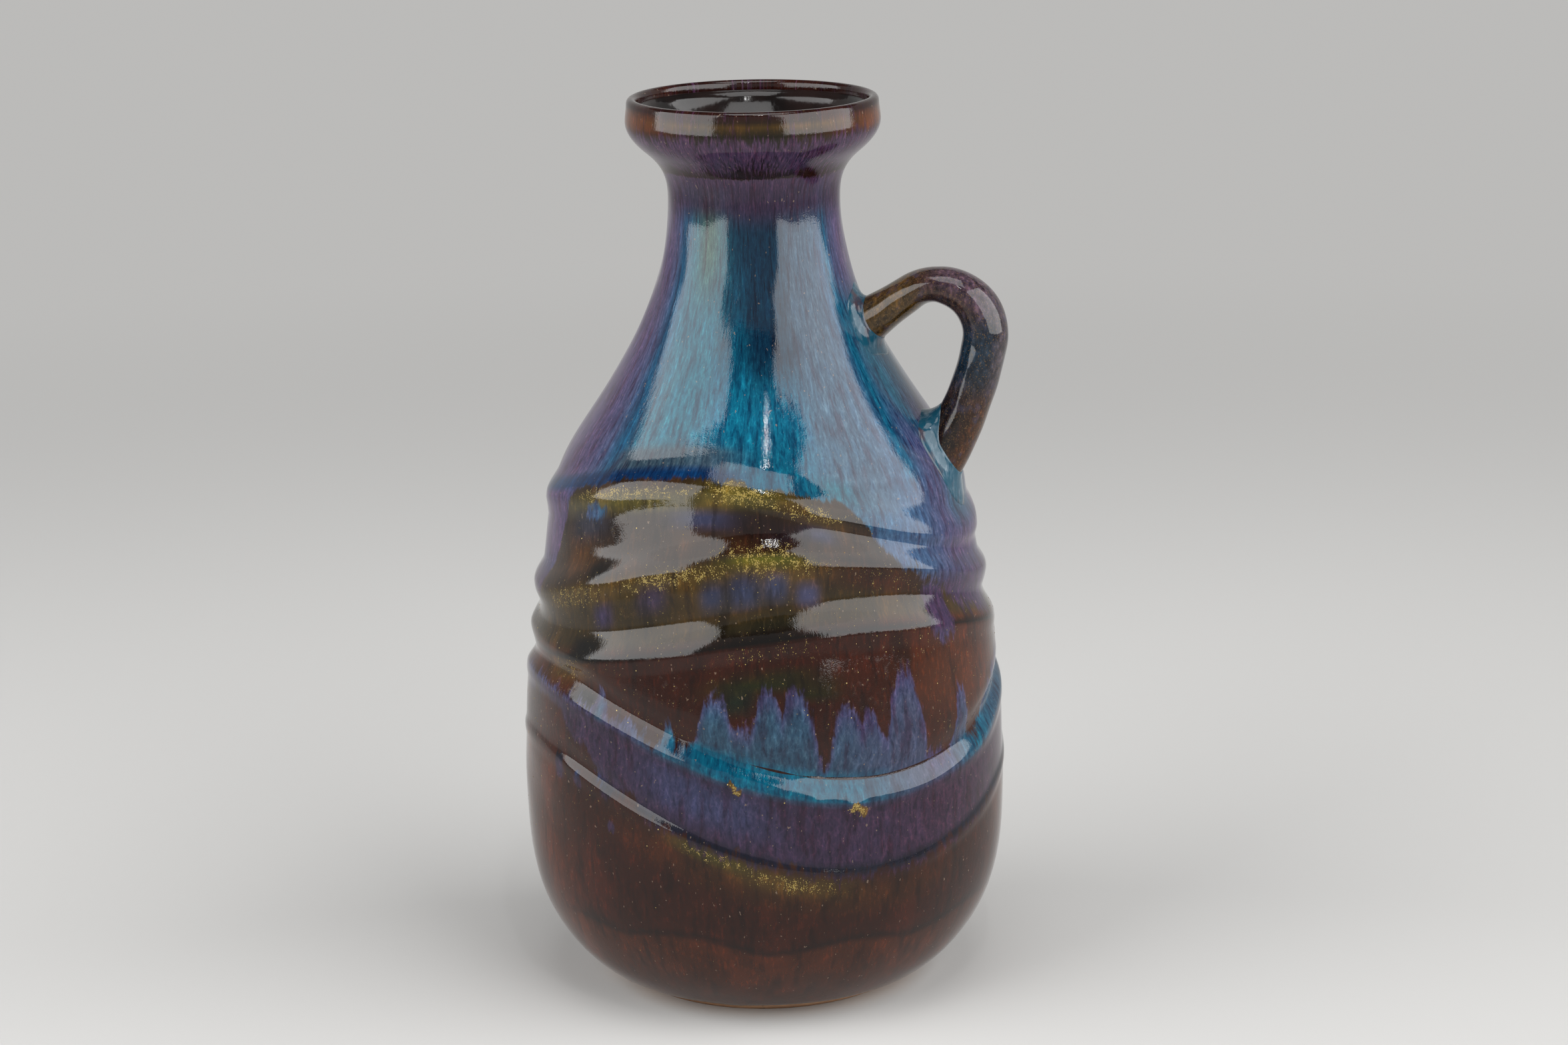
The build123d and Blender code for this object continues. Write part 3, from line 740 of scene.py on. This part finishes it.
flecks = bpy.data.objects.new("gold_flecks", coat)
vase.objects.link(flecks)
scatter = flecks.modifiers.new("scatter_flecks", "NODES")
scatter.node_group = flecks_tree
for dial, value in dials.items():
    scatter[dial] = value
strewn_flecks = flecks.evaluated_get(bpy.context.evaluated_depsgraph_get())
fleck_mesh = bpy.data.meshes.new_from_object(strewn_flecks)
flecks.modifiers.clear()
flecks.data = fleck_mesh
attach(flecks, "root")

# --- Liner glaze --------------------------------------------------------------------------------
# A glossy black glaze swilled round inside the vase. It starts under the outer coat on the inner
# side of the lip, and runs down the neck and over the floor.
turns = np.arange(CLAY_COLUMNS) * 2 * pi / CLAY_COLUMNS
neck_z, belly_z = np.linspace(LIP_HEIGHT - 1.0, 140, 40), np.linspace(137, 9, 40)
liner_z = np.concatenate([neck_z, belly_z, [8, 7.4]])
over_z, over_r = level_rows(
    np.concatenate([liner_z, np.full_like(floor_r, FLOOR_HEIGHT + GLAZE)]),
    np.concatenate([hollow_radius(liner_z) - GLAZE, floor_r]),
)
under_z, under_r = level_rows(
    np.concatenate([np.full_like(floor_r, FLOOR_HEIGHT - 0.1), liner_z[::-1] - BACK_GAP]),
    np.concatenate([floor_r[::-1], hollow_radius(liner_z[::-1]) + BACK_GAP]),
)
all_z, all_r = np.vstack([under_z, over_z]), np.vstack([under_r, over_r])
liner = tube("liner_glaze_coat", turned(all_z, all_r), "pointed")
black, shader, at = finish("black_liner_glaze", roughness=0.12, ior=1.40)
pool = at.noise((70, 70, 40), 3.0)
thin, thick = (0.013, 0.007, 0.006, 1), (0.004, 0.003, 0.003, 1)
feed(shader, "Base Color", pool.eased(0.4, 0.7).mixed(thick, thin))
feed(shader, "Roughness", pool * 0.12 + 0.06)
bumped(shader, at.noise((500, 500, 250), 2.0), 0.00005)
stand("liner_glaze_coat", liner, black, ["liner_glaze"])

# --- Handle -------------------------------------------------------------------------------------
# A cast strap of the same clay, bent into a finger loop. It runs out of the neck, over a round
# crown and down to the shoulder. Its clay is hidden by its own coat of brown and blue glaze.
REACH, CROWN_RADIUS, CROWN_HEIGHT = 54.3, 11.2, 156.2
ROOT_X, LEG_ANGLE, END_ANGLE = 15.3, 35.0, 12.0
LOWER_RADIUS, LOWER_TURN = 110.0, 20.0
STRAP_WIDTH, ROOT_THICK, CROWN_THICK, BEND_THICK, FOOT_THICK = 12.4, 16.0, 8.0, 10.4, 17.0
clay_node = bpy.data.objects["handle"]
clay_node.data.materials.clear()
clay_node.data.materials.append(bare_clay)


def strap_path(share):
    """Centre line of the strap at shares of its length: x, z, heading and thickness."""
    crown_x = REACH - CROWN_RADIUS
    first, last = radians(90 + LEG_ANGLE), -radians(END_ANGLE)
    leg_x = crown_x + CROWN_RADIUS * cos(first)
    leg = (leg_x - ROOT_X) / cos(radians(LEG_ANGLE))
    crown = CROWN_RADIUS * (first - last)
    lower = LOWER_RADIUS * radians(LOWER_TURN)
    along = np.asarray(share) * (leg + crown + lower)
    on_crown = np.clip((along - leg) / crown, 0, 1)
    turn = first + (last - first) * on_crown
    down = np.clip(along - leg - crown, 0, None) / LOWER_RADIUS
    back = np.clip(leg - along, 0, None)
    x = crown_x + CROWN_RADIUS * np.cos(turn) - back * cos(radians(LEG_ANGLE))
    z = CROWN_HEIGHT + CROWN_RADIUS * np.sin(turn) - back * sin(radians(LEG_ANGLE))
    flare = (FOOT_THICK - BEND_THICK) * (down / radians(LOWER_TURN)) ** 3
    x += (LOWER_RADIUS - flare / 2) * np.cos(last - down) - LOWER_RADIUS * cos(last)
    z += (LOWER_RADIUS - flare / 2) * np.sin(last - down) - LOWER_RADIUS * sin(last)
    heading = turn - down - pi / 2
    flare_length = leg + CROWN_RADIUS * radians(LEG_ANGLE)
    before_top = back + CROWN_RADIUS * np.clip(turn - pi / 2, 0, None)
    root_flare = (ROOT_THICK - CROWN_THICK) * (before_top / flare_length) ** 2
    thick = CROWN_THICK + (BEND_THICK - CROWN_THICK) * np.clip(np.cos(turn), 0, 1)
    return x, z, heading, thick + root_flare + flare


def strap_skin(share, angle, grow):
    """Point on the strap's oval skin, at a share of its length and an angle round its section."""
    x, z, heading, thick = strap_path(share)
    across = (thick / 2 + grow) * np.cos(angle)
    y = (STRAP_WIDTH / 2 + grow) * np.sin(angle)
    return np.stack([x - across * np.sin(heading), y, z + across * np.cos(heading)], axis=-1)


# The coat runs between two shares of the strap's length, whose ends are sunk in the body's glaze.
COAT_START, COAT_END, STRAP_ROWS, STRAP_COLUMNS = 0.13, 0.985, 150, 64
share_rows = np.linspace(COAT_START, COAT_END, STRAP_ROWS)[:, None]
angles = -np.arange(STRAP_COLUMNS) * 2 * pi / STRAP_COLUMNS
along, angle = np.broadcast_arrays(share_rows, angles)
uneven = 0.04 * np.sin(angle * 3 + along * 40) + 0.03 * np.sin(angle * 2 - along * 63)
strap_coat = tube("handle_glaze_coat", strap_skin(along, angle, uneven), "flat")
outer_side = np.cos(angle)
tint = brush(plain((0.026, 0.013, 0.010), along), [
    (1 - smooth(along, 0.27, 0.37), (0.050, 0.027, 0.006)),
    (0.9 * hump(along, 0.44, 0.09, 4) * smooth(outer_side, -0.3, 0.4), (0.045, 0.028, 0.040)),
    (0.9 * hump(along, 0.60, 0.10, 4), (0.004, 0.014, 0.025)),
    (0.8 * hump(along, 0.58, 0.12, 4) * smooth(outer_side, 0.4, 0.9), (0.040, 0.030, 0.034)),
    (0.95 * smooth(along, 0.68, 0.76), (0.006, 0.003, 0.002)),
    (0.9 * smooth(along, 0.64, 0.78) * smooth(outer_side, 0.0, 0.9), (0.040, 0.013, 0.003)),
])
paint(strap_coat, "ground", tint, "FLOAT_COLOR")
handle_glaze, shader, at = finish("handle_glaze", roughness=0.06, ior=1.42)
hair = at.noise((1100, 1100, 500), 3.0, 0.6)
streak = at.noise((330, 330, 210), 3.0, 0.55)
grain = at.noise((3200, 3200, 2600), 1.5, 0.5)
colour = at.node("ShaderNodeAttribute", {"attribute_name": "ground"}, {}, 0)
colour = hair.eased(0.50, 0.72).mixed(colour, colour.scaled((2.6, 2.4, 2.4)))
colour = hair.eased(0.50, 0.32).mixed(colour, colour.scaled((0.40, 0.40, 0.45)))
colour = (streak.eased(0.50, 0.70) * 0.8).mixed(colour, colour.scaled((0.45, 0.45, 0.50)))
colour = (streak.eased(0.46, 0.30) * 0.5).mixed(colour, (0.040, 0.034, 0.060, 1))
feed(shader, "Base Color", (grain.eased(0.58, 0.70) * 0.5).mixed(colour, (0.15, 0.085, 0.03, 1)))
feed(shader, "Roughness", hair * 0.04 + 0.04)
bumped(shader, hair * 0.5 + streak, 0.00003)
stand("handle_glaze_coat", strap_coat, handle_glaze, ["handle_glaze"])

# --- Luting slip --------------------------------------------------------------------------------
# Slip squeezed out round both ends of the handle and wiped into a fillet with a wet finger. Blue
# glaze pooled thickly over it, so each root of the handle has a pale teal collar.
FILLET_OUT, FILLET_UP, FILLET_ROWS, FILLET_COLUMNS = 3.6, 2.6, 9, 72
# A short step along the strap, as a share of its length, and how often a share is narrowed down.
STEP, HALVINGS = 0.004, 40


def root_share(angle, grow, near, far):
    """Share of the strap's length where its skin, grown by grow, meets the body's outside.

    It lies between a share near the root, in the body, and one far out of it.
    """
    inside = np.full_like(angle, near)
    outside = np.full_like(angle, far)
    for _ in range(HALVINGS):
        middle = (inside + outside) / 2
        point = strap_skin(middle, angle, grow)
        radius = np.hypot(point[:, 0], point[:, 1])
        turn = np.arctan2(point[:, 1], point[:, 0])
        wall_radius = outside_radius(point[:, 2]) - pressed_in(point[:, 2], turn)
        within = radius < wall_radius
        inside = np.where(within, middle, inside)
        outside = np.where(within, outside, middle)
    return (inside + outside) / 2


def fillet(name, near, far):
    """Fillet of slip between the body and the strap: a ring with a hollow curve for its face."""
    lower = far < near
    step = -STEP if lower else STEP
    angle = np.arange(FILLET_COLUMNS) * 2 * pi / FILLET_COLUMNS
    corner_share = root_share(angle, 0.0, near, far)
    corner = strap_skin(corner_share, angle, 0.0)
    spread = FILLET_OUT * (1 + 0.12 * np.sin(3 * angle + 1) + 0.08 * np.sin(5 * angle))
    foot = strap_skin(root_share(angle, spread, near, far), angle, spread)
    # Inside the loop, the lower one is drawn out high and thin between the strap and the body.
    narrow = smooth(-np.cos(angle), 0.1, 1.0) if lower else 0.0 * angle
    top_share = corner_share + step * FILLET_UP * (2.2 + 4.5 * narrow)
    top = strap_skin(top_share, angle, 0.02)
    depth = (0.75 - 0.45 * narrow)[:, None]
    pulled = corner * depth + (foot + top) / 2 * (1 - depth)
    rows = []
    for t in np.linspace(0, 1, FILLET_ROWS):
        rows.append((1 - t) ** 2 * foot + 2 * t * (1 - t) * pulled + t**2 * top)
    # Shut behind its face, in the strap and in the body.
    rows.append(strap_skin(top_share, angle, -1.0))
    rows.append(strap_skin(corner_share - step * 4, angle, -0.6))
    rows.append(foot * (0.975, 0.975, 1.0))
    rings = np.array(rows)
    return tube(name, rings if lower else rings[::-1], "joined")


slip, shader, at = finish("glazed_slip", roughness=0.06, ior=1.42)
hair = at.noise((800, 800, 300), 3.0, 0.6)
streak = at.noise((260, 260, 120), 3.0, 0.5)
pooled = hair.eased(0.45, 0.75).mixed((0.006, 0.052, 0.085, 1), (0.070, 0.120, 0.160, 1))
feed(shader, "Base Color", streak.eased(0.5, 0.7).mixed(pooled, (0.045, 0.030, 0.040, 1)))
feed(shader, "Roughness", hair * 0.06 + 0.07)
bumped(shader, hair * 0.5 + streak, 0.00006)
for name, near, far in (("upper_handle_lute", 0.02, 0.42), ("lower_handle_lute", 0.985, 0.55)):
    stand(f"{name}_fillet", fillet(name, near, far), slip, [name])

# --- Studio -------------------------------------------------------------------------------------
# A plain pale floor that curves up all round, soft boxes at both sides and above, a strip lamp, and
# the camera in front of the show face. Lengths are in metres here.
FLOOR_COLOUR = (0.50, 0.495, 0.485, 1)
GLOW_START, GLOW_FULL = 0.28, 0.95
floor, shader, at = finish("studio_floor", roughness=0.9, ior=1.3)
shader.inputs["Base Color"].default_value = FLOOR_COLOUR
shader.inputs["Specular IOR Level"].default_value = 0.0
# Away from the vase the floor glows evenly where it is looked at, also by way of a reflection.
rays = floor.node_tree.nodes.new("ShaderNodeLightPath").outputs
looked_at = Signal(rays["Is Camera Ray"]) + Signal(rays["Is Glossy Ray"])
looked_at = looked_at + Signal(rays["Is Transmission Ray"])
distance = at.node("ShaderNodeVectorMath", {"operation": "LENGTH"}, {0: at}, 1)
far_share = distance.eased(GLOW_START, GLOW_FULL) * looked_at.eased(0.0, 1.0)
glow = at.node("ShaderNodeEmission", {}, {"Color": FLOOR_COLOUR})
fade = at.node("ShaderNodeMixShader", {}, {0: far_share, 1: Signal(shader.outputs[0]), 2: glow})
floor.node_tree.links.new(fade.socket, floor.node_tree.nodes["Material Output"].inputs[0])

COVE_COLUMNS, FLAT_RADIUS, COVE_RADIUS, COVE_TOP = 96, 3.2, 1.0, 3.0
cove_turns = np.arange(COVE_COLUMNS) * 2 * pi / COVE_COLUMNS
bend = np.linspace(0, pi / 2, 12)
flat_r = np.array([0.05, 0.2, 0.6, 1.5])
bend_r, bend_z = FLAT_RADIUS + COVE_RADIUS * np.sin(bend), COVE_RADIUS * (1 - np.cos(bend))
cove_r = np.concatenate([flat_r, bend_r, [FLAT_RADIUS + COVE_RADIUS]])
cove_z = np.concatenate([0 * flat_r, bend_z, [COVE_TOP]])
points = [(0.0, 0.0, 0.0)]
points += [(r * cos(a), r * sin(a), z) for r, z in zip(cove_r, cove_z) for a in cove_turns]
faces = [(0, 1 + i, 1 + (i + 1) % COVE_COLUMNS) for i in range(COVE_COLUMNS)]
for row in range(len(cove_r) - 1):
    base = 1 + row * COVE_COLUMNS
    for i in range(COVE_COLUMNS):
        j = (i + 1) % COVE_COLUMNS
        faces.append((base + i, base + COVE_COLUMNS + i, base + COVE_COLUMNS + j, base + j))
cove_mesh = bpy.data.meshes.new("studio_floor")
cove_mesh.from_pydata(points, [], faces)
cove_mesh.shade_smooth()
cove_mesh.materials.append(floor)
cove = bpy.data.objects.new("studio_floor", cove_mesh)
vase.objects.link(cove)


def lamp(name, width, tall, radiance, place):
    """A rectangle of even light at a place, out of the camera's sight."""
    light = bpy.data.lights.new(name, "AREA")
    light.shape = "RECTANGLE"
    light.size, light.size_y = width, tall
    light.energy = radiance * pi * width * tall
    stood = bpy.data.objects.new(name, light)
    stood.matrix_world = place
    stood.visible_camera = False
    vase.objects.link(stood)


VIEW_TURN = 90.0 - HANDLE_TURN
BOX_RADIANCE, STRIP_RADIANCE, TOP_RADIANCE = 4.2, 130.0, 3.4
# Name, turn from the view, distance, height of the middle, lean, twist, width, height, radiance.
LAMPS = [
    ("left_soft_box", -72.8, 1.06, 0.62, 13.4, 21.9, 1.41, 1.12, BOX_RADIANCE),
    ("right_soft_box", 60.8, 1.28, 0.78, 19.0, 6.5, 2.10, 1.60, BOX_RADIANCE),
    ("strip_lamp", 8.5, 0.72, 1.09, 53.0, 0.0, 0.009, 0.20, STRIP_RADIANCE),
]
for name, turn, away, middle, lean, twist, width, tall, radiance in LAMPS:
    heading = radians(turn + VIEW_TURN - 90)
    place = Matrix.Translation((away * cos(heading), away * sin(heading), middle))
    facing = Matrix.Rotation(heading + radians(twist) + pi / 2, 4, "Z")
    lamp(name, width, tall, radiance, place @ facing @ Matrix.Rotation(radians(90 - lean), 4, "X"))
# The one above faces straight down, a little in front of the vase.
TOP_BOX_PLACE = (0.06, -0.30, 1.36)
to_view = Matrix.Rotation(radians(VIEW_TURN), 4, "Z")
overhead = to_view @ Matrix.Translation(TOP_BOX_PLACE)
lamp("top_soft_box", 0.74, 0.78, TOP_RADIANCE, overhead)

world = bpy.data.worlds.new("studio_air")
world.use_nodes = True
air = world.node_tree.nodes["Background"].inputs
air["Color"].default_value = (0.95, 0.97, 1.0, 1)
air["Strength"].default_value = 0.10
bpy.context.scene.world = world

# The camera looks down a little and is rolled a degree. Its lens is for a frame 36 mm wide.
CAMERA_PLACE, CAMERA_DOWN, CAMERA_ROLL = (0.2220, -0.8070, 0.3238), 14.40, -0.99
LENS, FRAME_WIDTH = 84.15, 36.0
camera_data = bpy.data.cameras.new("camera")
camera_data.lens = LENS
camera_data.sensor_width = FRAME_WIDTH
camera = bpy.data.objects.new("camera", camera_data)
tilt = to_view @ Matrix.Rotation(radians(90 - CAMERA_DOWN), 4, "X")
roll = Matrix.Rotation(radians(CAMERA_ROLL), 4, "Z")
camera.matrix_world = Matrix.Translation(CAMERA_PLACE) @ tilt @ roll
vase.objects.link(camera)
bpy.context.scene.camera = camera
bpy.context.scene.view_settings.view_transform = "Standard"
